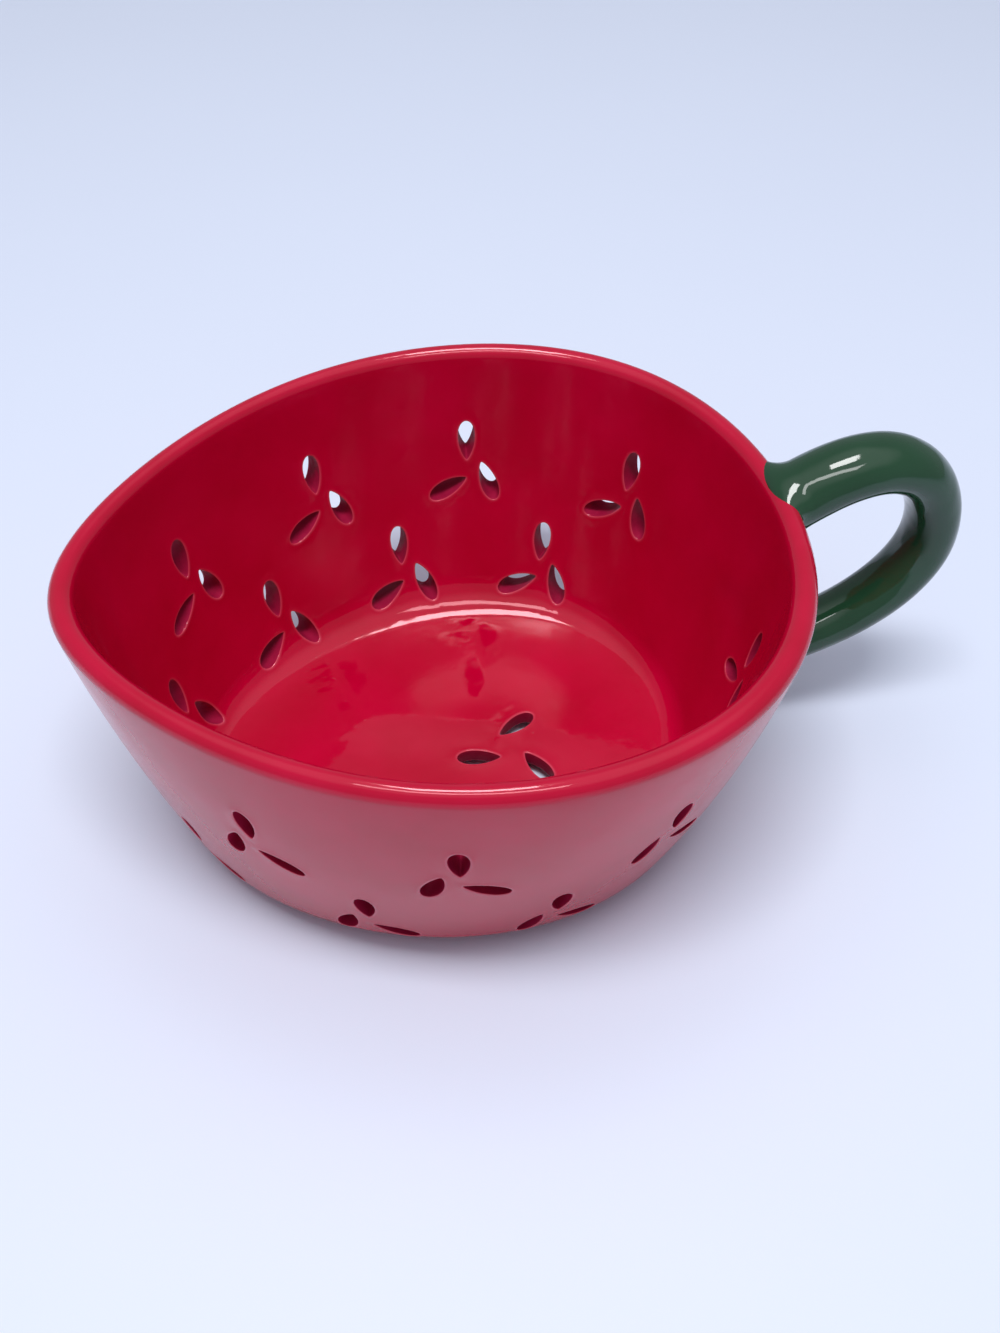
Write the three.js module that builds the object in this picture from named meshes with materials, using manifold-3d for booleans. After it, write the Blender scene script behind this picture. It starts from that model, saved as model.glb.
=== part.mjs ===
// Berry bowl: an egg-plan ceramic bowl pierced with trios of seed-shaped drain holes, and a looped handle.
// Millimetres, +Z up, +X toward the handle. The bowl stands on the plane z = 0.
import * as THREE from 'three';
import { mergeVertices } from 'three/addons/utils/BufferGeometryUtils.js';
import Module from 'manifold-3d';

const wasm = await Module();
wasm.setup();

// Bowl plan: an egg, broad toward the handle and drawn in to a soft tip at the far end
const RIM_LENGTH = 165;
const RIM_WIDTH = 149;
const RIM_HEIGHT = 77.3;
// The width swells by these weights of cos, cos squared and cos cubed of the egg angle
const RIM_SWELL = [0.147, -0.042, 0.105];
const BASE_SWELL = [0.093, 0, 0];

// Bowl section, angles in degrees from the vertical
const WALL = 5.5;
const FLOOR = 5;
const LIP_SLOPE = 8.6;
const BASE_SLOPE = 18;
const BOTTOM_ROUND = 12;
// Inner wall: its slope at the foot and its round to the floor, at the two ends and at the two long sides
const END_INNER_SLOPE = 18;
const SIDE_INNER_SLOPE = 22;
const END_FILLET = 7;
const SIDE_FILLET = 13;

// Foot ring under the bowl
const FOOT_HEIGHT = 3;
const FOOT_WIDTH = 5;
const FOOT_SETBACK = 2.5;
const FOOT_CHAMFER = 0.7;

// Seed holes: pointed toward the middle of their trio, round at the outer end
const SEED_LENGTH = 11;
const SEED_WIDTH = 4.5;
// How sharp the point is: 0 is an oval, 1 a straight-sided point
const SEED_POINT = 0.6;
// A trio as seen from outside the wall: each seed's middle and the way that its round end points
const WALL_TRIO = [
  { across: 0, up: 8.1, turn: 91 },
  { across: -5.5, up: -3.3, turn: 252 },
  { across: 5.4, up: -4.8, turn: 334 },
];
// The floor's trio as seen from above
const FLOOR_TRIO = [
  { across: 3.2, up: 7.9, turn: 27 },
  { across: -8.6, up: -0.8, turn: 169 },
  { across: 5.5, up: -7, turn: 294 },
];
const FLOOR_TRIO_PLACE = { x: 16.6, y: -5.6 };
// Upper trios from the handle round, by egg angle, and how far each sits below its row
const UPPER_TRIOS = [
  { angle: 35, sink: 0 },
  { angle: 74, sink: 0 },
  { angle: 107.5, sink: 0 },
  { angle: 141, sink: 0 },
  { angle: 185, sink: 0 },
  { angle: 230.5, sink: 2.3 },
  { angle: 263.5, sink: 0 },
  { angle: 300, sink: 3.7 },
  { angle: 340, sink: 0 },
];
const UPPER_ROW_DROP = 32.7;
const LOWER_ROW_HEIGHT = 16.2;
// Both rows climb by this toward +Y, and their holes climb outward by these degrees from square to the wall
const ROW_LEAN = 1.3;
const UPPER_SLANT = 22;
const LOWER_SLANT = 8;

// Handle: an oval bar bent in the plane y = 0, tapering from the rim down to the lower end
const HANDLE_REACH = 40.2;
const UPPER_ROOT_DROP = 6.1;
const BEND_DROP = 21;
const LOWER_ROOT_HEIGHT = 22.8;
const UPPER_ANGLE = 33;
const LOWER_ANGLE = 4.7;
// Lengths of the arms that shape the two curves of the centre line
const UPPER_ARM = 34.2;
const BEND_ARM_ABOVE = 14.8;
const BEND_ARM_BELOW = 14;
const LOWER_ARM = 37.4;
const UPPER_THICKNESS = 13.8;
const UPPER_BREADTH = 18.2;
const LOWER_THICKNESS = 10.6;
const LOWER_BREADTH = 13.5;
const ROOT_FLARE = 3.5;
// Share of the flare that the crown of the bar takes, so that it runs level onto the lip
const CROWN_SHARE = 0.2;

// Layer of luting slip between each handle end and the wall, and the gap kept on both its faces
const SLIP = 1;
const GAP = 0.3;

// Facet counts
const PLAN_STEPS = 64;
const ROUND_STEPS = 4;
const WALL_STEPS = 3;
const LIP_STEPS = 4;
const FILLET_STEPS = 5;
const SEED_STEPS = 12;
const HANDLE_STEPS = 48;
const HANDLE_SIDES = 20;

// Finishes
const RED_GLAZE = new THREE.MeshStandardMaterial({ color: 0xb4001c, roughness: 0.12, metalness: 0 });
const GREEN_GLAZE = new THREE.MeshStandardMaterial({ color: 0x1d4530, roughness: 0.12, metalness: 0 });
const GREEN_SLIP = new THREE.MeshStandardMaterial({ color: 0x24503a, roughness: 0.3, metalness: 0 });
const BARE_CLAY = new THREE.MeshStandardMaterial({ color: 0xd9cbb8, roughness: 0.85, metalness: 0 });

const radians = THREE.MathUtils.degToRad;
const steps = (count, at) => Array.from({ length: count + 1 }, (_, i) => at(i / count));

// Section of the wall: arcs worked out in a plane of (outward, z), outward 0 at the lip's widest level
const lipRadius = WALL / 2;
const lipAngle = radians(LIP_SLOPE);
const baseAngle = radians(BASE_SLOPE);
const lipLevel = RIM_HEIGHT - lipRadius * (1 + Math.sin(lipAngle));
const roundTop = FOOT_HEIGHT + BOTTOM_ROUND * (1 - Math.sin(baseAngle));
const wallRadius = (lipLevel - roundTop) / (Math.sin(baseAngle) - Math.sin(lipAngle));
const wallCentre = new THREE.Vector2(
  -wallRadius * Math.cos(lipAngle),
  lipLevel + wallRadius * Math.sin(lipAngle),
);
const floorLevel = FOOT_HEIGHT + FLOOR;

// A point of an arc whose outward normal dips by the given angle below the horizontal
function dip(centre, radius, angle) {
  return new THREE.Vector2(centre.x + radius * Math.cos(angle), centre.y - radius * Math.sin(angle));
}

function arc(centre, radius, from, to, count) {
  return steps(count, (t) => dip(centre, radius, from + (to - from) * t));
}

// How far the outer wall has drawn in from the rim at a level
function wallInset(z) {
  const sine = (wallCentre.y - Math.min(z, lipLevel)) / wallRadius;
  return -wallCentre.x - wallRadius * Math.sqrt(1 - sine * sine);
}

// The outside from the underside up and over the lip's crest, moved outward by an offset
function outerSection(offset) {
  const roundCentre = dip(wallCentre, wallRadius - BOTTOM_ROUND, baseAngle);
  const lipCentre = dip(wallCentre, wallRadius - lipRadius, lipAngle);
  return [
    ...arc(roundCentre, BOTTOM_ROUND + offset, Math.PI / 2, baseAngle, ROUND_STEPS),
    ...arc(wallCentre, wallRadius + offset, baseAngle, lipAngle, WALL_STEPS).slice(1),
    ...arc(lipCentre, lipRadius + offset, lipAngle, -Math.PI / 2, LIP_STEPS).slice(1),
  ];
}

// The inside from the lip's crest down to the edge of the flat floor, for one slope at its foot and one fillet
function innerSection(footSlope, fillet) {
  const slope = radians(footSlope);
  const lipCentre = dip(wallCentre, wallRadius - lipRadius, lipAngle);
  const top = dip(wallCentre, wallRadius - WALL, lipAngle);
  const drop = top.y - floorLevel - fillet * (1 - Math.sin(slope));
  const innerRadius = drop / (Math.sin(slope) - Math.sin(lipAngle));
  const innerCentre = dip(top, -innerRadius, lipAngle);
  const filletCentre = dip(innerCentre, innerRadius - fillet, slope);
  return [
    ...arc(lipCentre, lipRadius, -Math.PI / 2, lipAngle - Math.PI, LIP_STEPS).slice(1),
    ...arc(innerCentre, innerRadius, lipAngle, slope, WALL_STEPS).slice(1),
    ...arc(filletCentre, fillet, slope, Math.PI / 2, FILLET_STEPS).slice(1),
  ];
}

// A point of the plan at an egg angle, drawn in from the rim by -outward, with the egg of its level
function planPoint(angle, outward, z) {
  const blend = wallInset(z) / wallInset(FOOT_HEIGHT);
  const cosine = Math.cos(angle);
  const swell = RIM_SWELL.reduce((sum, rim, k) => {
    return sum + THREE.MathUtils.lerp(rim, BASE_SWELL[k], blend) * cosine ** (k + 1);
  }, 1);
  const x = (RIM_LENGTH / 2 + outward) * cosine;
  const y = (RIM_WIDTH / 2 + outward) * Math.sin(angle) * swell;
  return new THREE.Vector3(x, y, z);
}

// A ring whose section point goes from one at the two ends to another at the two long sides
function planRing(end, side) {
  return steps(PLAN_STEPS, (t) => {
    const angle = 2 * Math.PI * t;
    const point = end.clone().lerp(side, Math.sin(angle) ** 2);
    return planPoint(angle, point.x, point.y);
  }).slice(0, PLAN_STEPS);
}

function planRings(ends, sides = ends) {
  return ends.map((end, i) => planRing(end, sides[i]));
}

// A closed skin over rings of equal count, shut at both ends by a fan or, if looped, by its first ring
function skin(rings, looped = false) {
  const count = rings[0].length;
  const points = rings.flat();
  const faces = [];
  const last = looped ? rings.length : rings.length - 1;
  for (let i = 0; i < last; i += 1) {
    const here = i * count;
    const next = ((i + 1) % rings.length) * count;
    for (let j = 0; j < count; j += 1) {
      const k = (j + 1) % count;
      faces.push(here + j, here + k, next + k, here + j, next + k, next + j);
    }
  }
  if (!looped) {
    const middle = (ring) => ring.reduce((sum, p) => sum.add(p), new THREE.Vector3()).divideScalar(count);
    const end = (rings.length - 1) * count;
    points.push(middle(rings[0]), middle(rings.at(-1)));
    for (let j = 0; j < count; j += 1) {
      const k = (j + 1) % count;
      faces.push(points.length - 2, k, j, points.length - 1, end + j, end + k);
    }
  }
  const geometry = new THREE.BufferGeometry().setFromPoints(points);
  geometry.setIndex(faces);
  return geometry;
}

// Joining and cutting
function solid(geometry) {
  const bare = geometry.clone();
  bare.deleteAttribute('normal');
  bare.deleteAttribute('uv');
  const merged = mergeVertices(bare);
  const vertProperties = new Float32Array(merged.getAttribute('position').array);
  const triVerts = new Uint32Array(merged.index.array);
  return new wasm.Manifold(new wasm.Mesh({ numProp: 3, vertProperties, triVerts }));
}

function geometryOf(body) {
  const mesh = body.getMesh();
  const geometry = new THREE.BufferGeometry();
  geometry.setAttribute('position', new THREE.BufferAttribute(mesh.vertProperties, mesh.numProp));
  geometry.setIndex(new THREE.BufferAttribute(mesh.triVerts, 1));
  geometry.computeVertexNormals();
  return geometry;
}

function piece(name, geometry, material) {
  const mesh = new THREE.Mesh(geometry, material);
  mesh.name = name;
  return mesh;
}

// One seed-shaped cutter, its point at -X, standing evenly on both sides of z = 0
function seedCutter(depth) {
  const fullness = (t) => Math.sin(t) * Math.sin(t / 2) ** SEED_POINT;
  const widest = fullness(2 * Math.atan(Math.sqrt(1 + SEED_POINT)));
  const outline = steps(SEED_STEPS, (t) => {
    const turn = 2 * Math.PI * t;
    const x = (-SEED_LENGTH / 2) * Math.cos(turn);
    const y = (SEED_WIDTH / 2 / widest) * fullness(turn);
    return new THREE.Vector2(x, y);
  });
  const shape = new THREE.Shape(outline.slice(0, SEED_STEPS));
  const cutter = new THREE.ExtrudeGeometry(shape, { depth, bevelEnabled: false, steps: 1 });
  return cutter.translate(0, 0, -depth / 2);
}

// The three cutters of a trio, drawn in a frame's X and Y and cutting along its Z
function trioCutters(trio, frame, depth) {
  return trio.map(({ across, up, turn }) => {
    const cutter = seedCutter(depth);
    cutter.rotateZ(radians(turn));
    cutter.translate(across, up, 0);
    return solid(cutter.applyMatrix4(frame));
  });
}

// Frame on the outer wall at an egg angle and level: X along the wall, Y up it, Z out of it and up by the slant
function wallFrame(angle, z, slant) {
  const small = 0.01;
  const at = (a, level) => planPoint(a, -wallInset(level), level);
  const origin = at(angle, z);
  const along = at(angle + small, z).sub(origin).normalize();
  const rise = at(angle, z + small).sub(origin).normalize();
  const out = along.clone().cross(rise).normalize();
  rise.crossVectors(out, along);
  out.addScaledVector(rise, Math.tan(slant));
  return new THREE.Matrix4().makeBasis(along, rise, out).setPosition(origin);
}

function seedHoles() {
  const throughWall = 2 * (WALL + SIDE_FILLET);
  const upperRow = UPPER_TRIOS.map(({ angle, sink }) => {
    return [angle, RIM_HEIGHT - UPPER_ROW_DROP - sink, UPPER_SLANT];
  });
  // Each lower trio sits under the gap between two upper ones
  const lowerRow = UPPER_TRIOS.slice(1).map(({ angle }, i) => {
    return [(angle + UPPER_TRIOS[i].angle) / 2, LOWER_ROW_HEIGHT, LOWER_SLANT];
  });
  const inWall = [...upperRow, ...lowerRow].flatMap(([degrees, level, slant]) => {
    const angle = radians(degrees);
    const z = level + ROW_LEAN * Math.sin(angle);
    return trioCutters(WALL_TRIO, wallFrame(angle, z, radians(slant)), throughWall);
  });
  const floorFrame = new THREE.Matrix4().makeTranslation(FLOOR_TRIO_PLACE.x, FLOOR_TRIO_PLACE.y, floorLevel);
  return [...inWall, ...trioCutters(FLOOR_TRIO, floorFrame, 4 * FLOOR)];
}

function bowlBody() {
  const ends = innerSection(END_INNER_SLOPE, END_FILLET);
  const sides = innerSection(SIDE_INNER_SLOPE, SIDE_FILLET);
  const rings = [...planRings(outerSection(0)), ...planRings(ends, sides)];
  const shell = seedHoles().reduce((body, hole) => body.subtract(hole), solid(skin(rings)));
  return piece('bowl_body', geometryOf(shell), RED_GLAZE);
}

// The bowl's outside as a filled body, for seating the handle on it
function filledBowl(offset) {
  return solid(skin(planRings(outerSection(offset))));
}

function footRing() {
  const outside = outerSection(0)[0].x - FOOT_SETBACK;
  const inside = outside - FOOT_WIDTH;
  const section = [
    new THREE.Vector2(inside, FOOT_HEIGHT),
    new THREE.Vector2(inside, FOOT_CHAMFER),
    new THREE.Vector2(inside + FOOT_CHAMFER, 0),
    new THREE.Vector2(outside - FOOT_CHAMFER, 0),
    new THREE.Vector2(outside, FOOT_CHAMFER),
    new THREE.Vector2(outside, FOOT_HEIGHT),
  ];
  return piece('foot_ring', skin(planRings(section), true), BARE_CLAY);
}

// Handle's centre line: it leaves the wall, bends round and comes back, with a straight root inside each end
function handlePath() {
  const onWall = (z) => new THREE.Vector3(RIM_LENGTH / 2 - wallInset(z), 0, z);
  const ray = (degrees) => new THREE.Vector3(Math.cos(radians(degrees)), 0, Math.sin(radians(degrees)));
  const along = (from, degrees, distance) => from.clone().addScaledVector(ray(degrees), distance);
  const upper = onWall(RIM_HEIGHT - UPPER_ROOT_DROP);
  const lower = onWall(LOWER_ROOT_HEIGHT);
  const bend = new THREE.Vector3(RIM_LENGTH / 2 + HANDLE_REACH, 0, RIM_HEIGHT - BEND_DROP);
  const above = along(bend, 90, BEND_ARM_ABOVE);
  const below = along(bend, -90, BEND_ARM_BELOW);
  const path = new THREE.CurvePath();
  path.add(new THREE.LineCurve3(along(upper, UPPER_ANGLE, -UPPER_THICKNESS), upper));
  path.add(new THREE.CubicBezierCurve3(upper, along(upper, UPPER_ANGLE, UPPER_ARM), above, bend));
  path.add(new THREE.CubicBezierCurve3(bend, below, along(lower, LOWER_ANGLE, LOWER_ARM), lower));
  path.add(new THREE.LineCurve3(lower, along(lower, LOWER_ANGLE, -LOWER_THICKNESS)));
  return path;
}

// How far a point beside the handle stands out from the wall
function standOff(point) {
  const inset = wallInset(point.z);
  const spread = planPoint(Math.PI / 4, -inset, point.z).y / Math.SQRT1_2;
  return point.x - planPoint(Math.asin(point.y / spread), -inset, point.z).x;
}

// A hollow flare, full on the wall and gone at its own radius from it
function flareAt(distance) {
  const near = THREE.MathUtils.clamp(1 - distance / ROOT_FLARE, 0, 1);
  return ROOT_FLARE * (1 - Math.sqrt(1 - near * near));
}

// An oval across the centre line, grown by the flare where it nears the wall
function handleRing(path, t) {
  const centre = path.getPoint(t);
  const side = new THREE.Vector3(0, 1, 0);
  const under = side.clone().cross(path.getTangent(t));
  const thick = THREE.MathUtils.lerp(UPPER_THICKNESS, LOWER_THICKNESS, t) / 2;
  const broad = THREE.MathUtils.lerp(UPPER_BREADTH, LOWER_BREADTH, t) / 2;
  return steps(HANDLE_SIDES, (s) => {
    const turn = 2 * Math.PI * s;
    const down = Math.cos(turn);
    const across = Math.sin(turn);
    const share = down < 0 ? 1 - (1 - CROWN_SHARE) * down * down : 1;
    const plain = centre.clone().addScaledVector(under, thick * down).addScaledVector(side, broad * across);
    const flare = share * flareAt(standOff(plain));
    return plain.addScaledVector(under, flare * down).addScaledVector(side, flare * across);
  }).slice(0, HANDLE_SIDES);
}

function handleBar() {
  const path = handlePath();
  return solid(skin(steps(HANDLE_STEPS, (t) => handleRing(path, t))));
}

function handlePieces() {
  const bar = handleBar();
  const slip = bar.intersect(filledBowl(GAP + SLIP)).subtract(filledBowl(GAP));
  const handle = bar.subtract(filledBowl(SLIP + 2 * GAP));
  // A block over the level halfway between the two roots tells the upper end's slip from the lower end's
  const halfway = (RIM_HEIGHT - UPPER_ROOT_DROP + LOWER_ROOT_HEIGHT) / 2;
  const block = new THREE.BoxGeometry(2 * RIM_LENGTH, RIM_WIDTH, RIM_HEIGHT);
  const upperHalf = solid(block.translate(0, 0, halfway + RIM_HEIGHT / 2));
  return [
    piece('handle', geometryOf(handle), GREEN_GLAZE),
    piece('upper_slip_pad', geometryOf(slip.intersect(upperHalf)), GREEN_SLIP),
    piece('lower_slip_pad', geometryOf(slip.subtract(upperHalf)), GREEN_SLIP),
  ];
}

// The whole, with its origin under the middle of its box
const group = new THREE.Group();
group.add(bowlBody(), footRing(), ...handlePieces());
const middle = new THREE.Box3().setFromObject(group).getCenter(new THREE.Vector3());
group.position.x = -middle.x;
group.updateMatrixWorld(true);

export default group;
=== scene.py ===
"""Looks of the berry bowl: glazed shell, rounded seed holes, green handle, bare foot, floor and light."""

import math

import bmesh
import bpy
import numpy as np
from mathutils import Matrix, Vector
from mathutils.geometry import delaunay_2d_cdt


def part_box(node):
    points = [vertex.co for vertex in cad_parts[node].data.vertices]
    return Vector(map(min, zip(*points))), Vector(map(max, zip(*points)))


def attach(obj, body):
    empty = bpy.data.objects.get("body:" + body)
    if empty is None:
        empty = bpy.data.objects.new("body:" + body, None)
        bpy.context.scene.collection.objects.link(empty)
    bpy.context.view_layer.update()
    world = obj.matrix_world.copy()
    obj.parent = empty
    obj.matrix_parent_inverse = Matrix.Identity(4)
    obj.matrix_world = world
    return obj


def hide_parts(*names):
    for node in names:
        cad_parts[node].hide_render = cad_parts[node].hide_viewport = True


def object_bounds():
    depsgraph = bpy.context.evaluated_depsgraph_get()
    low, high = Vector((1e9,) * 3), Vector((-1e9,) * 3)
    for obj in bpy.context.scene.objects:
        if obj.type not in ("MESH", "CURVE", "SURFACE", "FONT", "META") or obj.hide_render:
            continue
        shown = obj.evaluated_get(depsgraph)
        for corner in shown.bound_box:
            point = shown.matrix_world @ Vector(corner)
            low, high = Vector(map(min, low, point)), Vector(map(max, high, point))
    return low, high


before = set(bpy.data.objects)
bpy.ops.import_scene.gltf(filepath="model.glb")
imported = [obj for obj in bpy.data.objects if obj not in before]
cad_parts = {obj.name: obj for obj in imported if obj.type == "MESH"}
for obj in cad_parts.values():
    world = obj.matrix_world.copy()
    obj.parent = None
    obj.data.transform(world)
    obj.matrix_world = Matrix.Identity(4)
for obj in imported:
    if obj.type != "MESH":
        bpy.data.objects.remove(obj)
cad_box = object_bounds()

# Sizes in millimetres and degrees, the same as those of the frame's solids
RIM_LENGTH = 165
RIM_WIDTH = 149
RIM_HEIGHT = 77.3
RIM_SWELL = (0.147, -0.042, 0.105)
BASE_SWELL = (0.093, 0, 0)
WALL = 5.5
FLOOR = 5
LIP_SLOPE = 8.6
BASE_SLOPE = 18
BOTTOM_ROUND = 12
# Slope of the inner wall at its foot and round to the floor, at the two ends and at the two long sides
END_INNER_SLOPE = 18
SIDE_INNER_SLOPE = 22
END_FILLET = 7
SIDE_FILLET = 13
FOOT_HEIGHT = 3
FOOT_WIDTH = 5
FOOT_SETBACK = 2.5
FOOT_CHAMFER = 0.7
SEED_LENGTH = 11
SEED_WIDTH = 4.5
SEED_POINT = 0.6
# Each seed of a trio: across, up and the way its round end points
WALL_TRIO = ((0, 8.1, 91), (-5.5, -3.3, 252), (5.4, -4.8, 334))
FLOOR_TRIO = ((3.2, 7.9, 27), (-8.6, -0.8, 169), (5.5, -7, 294))
FLOOR_TRIO_PLACE = (16.6, -5.6)
# Egg angle of each upper trio and how far it sits below its row
UPPER_TRIOS = (
    (35, 0), (74, 0), (107.5, 0), (141, 0), (185, 0), (230.5, 2.3), (263.5, 0), (300, 3.7), (340, 0),
)
UPPER_ROW_DROP = 32.7
LOWER_ROW_HEIGHT = 16.2
ROW_LEAN = 1.3
UPPER_SLANT = 22
LOWER_SLANT = 8
HANDLE_REACH = 40.2
UPPER_ROOT_DROP = 6.1
BEND_DROP = 21
LOWER_ROOT_HEIGHT = 22.8
UPPER_ANGLE = 33
LOWER_ANGLE = 4.7
UPPER_ARM = 34.2
BEND_ARM_ABOVE = 14.8
BEND_ARM_BELOW = 14
LOWER_ARM = 37.4
UPPER_THICKNESS = 13.8
UPPER_BREADTH = 18.2
LOWER_THICKNESS = 10.6
LOWER_BREADTH = 13.5

# Glaze on the hole edges: how far the edge is rounded, how far its bead reaches and how high that stands
EDGE_ROUND = 0.22
BEAD_REACH = 1.1
BEAD_HEIGHT = 0.04
# Rings of the bead: distance from the hole, share of the bead's height and thinness of the glaze
BEAD_RINGS = ((BEAD_REACH, 0, 0), (0.9, 0.7, 0), (0.6, 1, 0.05))
# The round after it: its rings, the share of the bead left where they start, and the glaze's thinness
ROUND_RINGS = 5
ROUND_LIFT = 0.6
ROUND_THIN = 0.3
ROUND_THIN_GAIN = 1.5
# Room that the points of a sheet leave round a bead
EDGE_ROOM = 0.8
# Thin glaze on the lip: how thin, and how far it reaches from the crest
LIP_THIN = 0.03
LIP_THIN_REACH = 3.2
# The bottom edge that shows is tighter than that of the solids
SEEN_ROUND = 7
# The floor is a shallow dish: its depth, its slope at the back edge and a slow unevenness
DISH_DEPTH = 1
DISH_SLOPE = 12
FLOOR_WAVE = 0.14
# The share of that slope that is the same all round
DISH_EVEN = 0.6
# Lengths of the unevenness: along, in its bend, across and on the slant
WAVE_LENGTHS = (7.3, 11, 6.1, 13)

# The handle's ends: the patch each covers on the wall, and where the plain bar begins
UPPER_PATCH = {"half_width": 11.8, "inner": 10.8, "outer": 10.6}
LOWER_PATCH = {"half_width": 9.4, "inner": 7.2, "outer": 7.2}
UPPER_CLEAR = 6.5
LOWER_CLEAR = 5.5
PATCH_SINK = 0.25
PATCH_LIFT = 0.35

# Mesh fineness
PLAN_COLUMNS = 200
SECTION_STEPS = (10, 26, 18, 22, 16)
RIM_POINTS = 40
FLOOR_GRID = 3
FLOOR_GRID_SHARE = 0.96
WEAR_POINTS = 6
LINE_POINTS = 400
BAR_RINGS = 90
BAR_SIDES = 144
FLARE_RINGS = 14
# A seed's outline: points as drawn and when evened, rounds of smoothing, and the points that a turn draws
OUTLINE_DRAWN = 800
OUTLINE_EVEN = 600
TIP_SOFTNESS = 40
TURN_WEIGHT = 2

MILLIMETRE = 0.001
# Searches on the skin: steps for slopes and headings, rounds of search, and how near the ends they go
SLOPE_STEP = 1e-4
HEADING_STEP = 0.2
MEETING_ROUNDS = 12
PATCH_ROUNDS = 20
RUN_MARGIN = 0.1
FILL_TOLERANCE = 1e-7

low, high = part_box("bowl_body")
BOWL_MIDDLE = np.array([(low.x + high.x) / 2, 0, 0]) / MILLIMETRE


# Section of the wall, as arcs in a plane of (outward, height)
def dip(centre, radius, angle):
    """Point of an arc whose outward normal dips by the angle below the horizontal."""
    direction = np.stack([np.cos(angle), -np.sin(angle)], -1)
    return np.asarray(centre) + np.asarray(radius)[..., None] * direction


LIP_RADIUS = WALL / 2
LIP_TILT = math.radians(LIP_SLOPE)
BASE_TILT = math.radians(BASE_SLOPE)
LIP_LEVEL = RIM_HEIGHT - LIP_RADIUS * (1 + math.sin(LIP_TILT))
ROUND_TOP = FOOT_HEIGHT + BOTTOM_ROUND * (1 - math.sin(BASE_TILT))
WALL_RADIUS = (LIP_LEVEL - ROUND_TOP) / (math.sin(BASE_TILT) - math.sin(LIP_TILT))
WALL_CENTRE = dip((0, LIP_LEVEL), -WALL_RADIUS, LIP_TILT)
SEEN_TILT = math.asin((WALL_CENTRE[1] - FOOT_HEIGHT - SEEN_ROUND) / (WALL_RADIUS - SEEN_ROUND))
FLOOR_LEVEL = FOOT_HEIGHT + FLOOR
DISH_LEVEL = FLOOR_LEVEL - DISH_DEPTH


class Section:
    """Arcs from the underside over the lip to the floor, for one slope and fillet of the inner wall."""

    def __init__(self, inner_slope, fillet):
        slope = math.radians(inner_slope)
        lip_centre = dip(WALL_CENTRE, WALL_RADIUS - LIP_RADIUS, LIP_TILT)
        inner_top = dip(WALL_CENTRE, WALL_RADIUS - WALL, LIP_TILT)
        drop = inner_top[1] - FLOOR_LEVEL - fillet * (1 - math.sin(slope))
        inner_radius = drop / (math.sin(slope) - math.sin(LIP_TILT))
        inner_centre = dip(inner_top, -inner_radius, LIP_TILT)
        round_centre = dip(WALL_CENTRE, WALL_RADIUS - SEEN_ROUND, SEEN_TILT)
        fillet_centre = dip(inner_centre, inner_radius - fillet, slope)
        self.centres = np.array([round_centre, WALL_CENTRE, lip_centre, inner_centre, fillet_centre])
        self.radii = np.array([SEEN_ROUND, WALL_RADIUS, LIP_RADIUS, inner_radius, fillet])
        self.first = np.array([math.pi / 2, SEEN_TILT, LIP_TILT, LIP_TILT, slope])
        self.last = np.array([SEEN_TILT, LIP_TILT, LIP_TILT - math.pi, slope, math.pi / 2])

    def lengths(self):
        return self.radii * abs(self.last - self.first)

    def point(self, arc, share):
        angle = self.first[arc] + (self.last - self.first)[arc] * share
        return dip(self.centres[arc], self.radii[arc], angle)


END_SECTION = Section(END_INNER_SLOPE, END_FILLET)
SIDE_SECTION = Section(SIDE_INNER_SLOPE, SIDE_FILLET)
ARC_LENGTHS = END_SECTION.lengths()
ARC_STARTS = np.concatenate([[0], np.cumsum(ARC_LENGTHS)])
CREST_RUN = ARC_STARTS[2] + LIP_RADIUS * (LIP_TILT + math.pi / 2)


def section(run, side):
    """(outward, height) at each distance along the end section, moved toward the side section."""
    run = np.clip(run, 0, ARC_STARTS[-1])
    arc = np.clip(np.searchsorted(ARC_STARTS, run, side="right") - 1, 0, len(ARC_LENGTHS) - 1)
    share = (run - ARC_STARTS[arc]) / ARC_LENGTHS[arc]
    end = END_SECTION.point(arc, share)
    return end + (SIDE_SECTION.point(arc, share) - end) * np.asarray(side)[..., None]


def run_at(height, outside):
    """Distance along the section at which the outer or inner wall passes a height."""
    arc = 1 if outside else 3
    radius = END_SECTION.radii[arc]
    angle = math.asin((END_SECTION.centres[arc, 1] - height) / radius)
    return ARC_STARTS[arc] + radius * abs(angle - END_SECTION.first[arc])


def wall_inset(height):
    """How far the outer wall has drawn in from the rim at a height."""
    sine = (WALL_CENTRE[1] - np.minimum(height, LIP_LEVEL)) / WALL_RADIUS
    return -WALL_CENTRE[0] - WALL_RADIUS * np.sqrt(1 - sine * sine)


# The skin of the bowl by egg angle and distance along the section
def plan_point(angle, outward, height):
    """Point of the egg plan of its height, drawn in from the rim by minus outward."""
    blend = wall_inset(height) / wall_inset(FOOT_HEIGHT)
    cosine = np.cos(angle)
    swell = 1
    for power, (rim, base) in enumerate(zip(RIM_SWELL, BASE_SWELL), 1):
        swell = swell + (rim + (base - rim) * blend) * cosine**power
    x = (RIM_LENGTH / 2 + outward) * cosine
    y = (RIM_WIDTH / 2 + outward) * np.sin(angle) * swell
    return np.stack(np.broadcast_arrays(x, y, height), -1)


def dish_slope(angle):
    """Slope of the floor's edge in degrees, most at the back and least at the front."""
    return DISH_SLOPE * (DISH_EVEN + (1 - DISH_EVEN) * np.sin(angle))


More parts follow.
